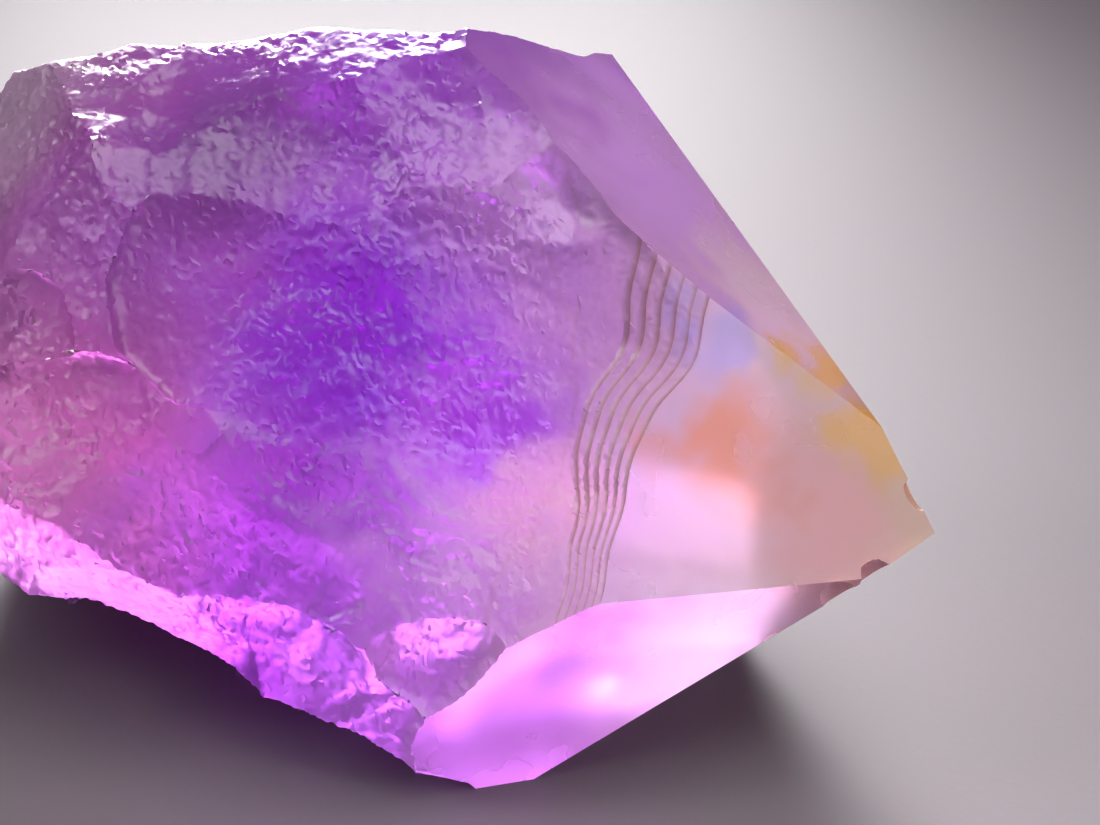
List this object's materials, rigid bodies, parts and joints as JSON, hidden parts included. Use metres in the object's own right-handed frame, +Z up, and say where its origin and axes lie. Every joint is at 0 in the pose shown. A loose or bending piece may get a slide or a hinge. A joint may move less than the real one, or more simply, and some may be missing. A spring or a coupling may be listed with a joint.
{
  "type": "ametrine point",
  "caption": "Natural quartz point lying on its side: a clear flat-faced tip, violet to gold, on a rough body broken by shell-shaped flake scars.",
  "frame": {"origin": "under the middle of the crystal's bounding box, on the surface that it lies on", "axes": "+X along the crystal's long axis towards its tip, +Z up, -Y the side that the picture shows"},
  "size_m": [0.0964, 0.064, 0.0586],
  "materials": {
    "crystal": "clear zoned quartz, glassy on the growth faces and frosted on the breaks"
  },
  "bodies": {
    "root": {"crystal": "crystal"}
  },
  "joints": []
}
